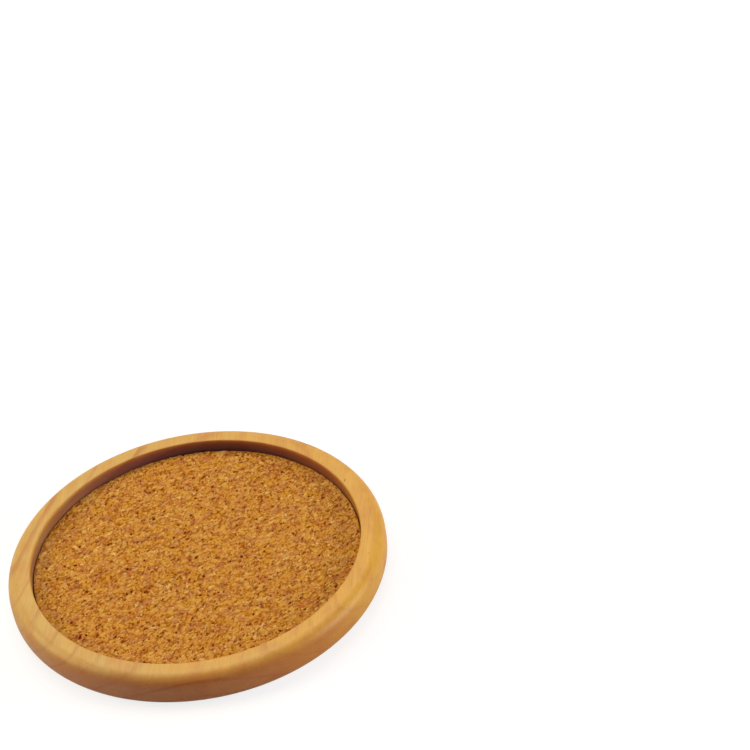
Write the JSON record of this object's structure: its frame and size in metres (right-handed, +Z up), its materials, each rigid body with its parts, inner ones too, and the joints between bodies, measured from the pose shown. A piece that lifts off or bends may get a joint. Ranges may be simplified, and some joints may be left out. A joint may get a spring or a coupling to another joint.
{
  "type": "coaster",
  "caption": "Round wooden coaster turned from one board, with rounded edges and a raised rim around a cork inlay that a mug or glass stands on.",
  "frame": {"origin": "centre of the flat underside, on the surface the coaster stands on", "axes": "+Z up along the turning axis, towards the open recess; +X and +Y across the round, with the picture's camera on the -Y side"},
  "size_m": [0.095, 0.095, 0.009],
  "materials": {
    "lacquered_hardwood": "satin",
    "dried_glue": "satin",
    "agglomerated_cork": "matte"
  },
  "bodies": {
    "root": {"turned_dish": "lacquered_hardwood", "glue_film": "dried_glue", "cork_inlay": "agglomerated_cork"}
  },
  "joints": []
}
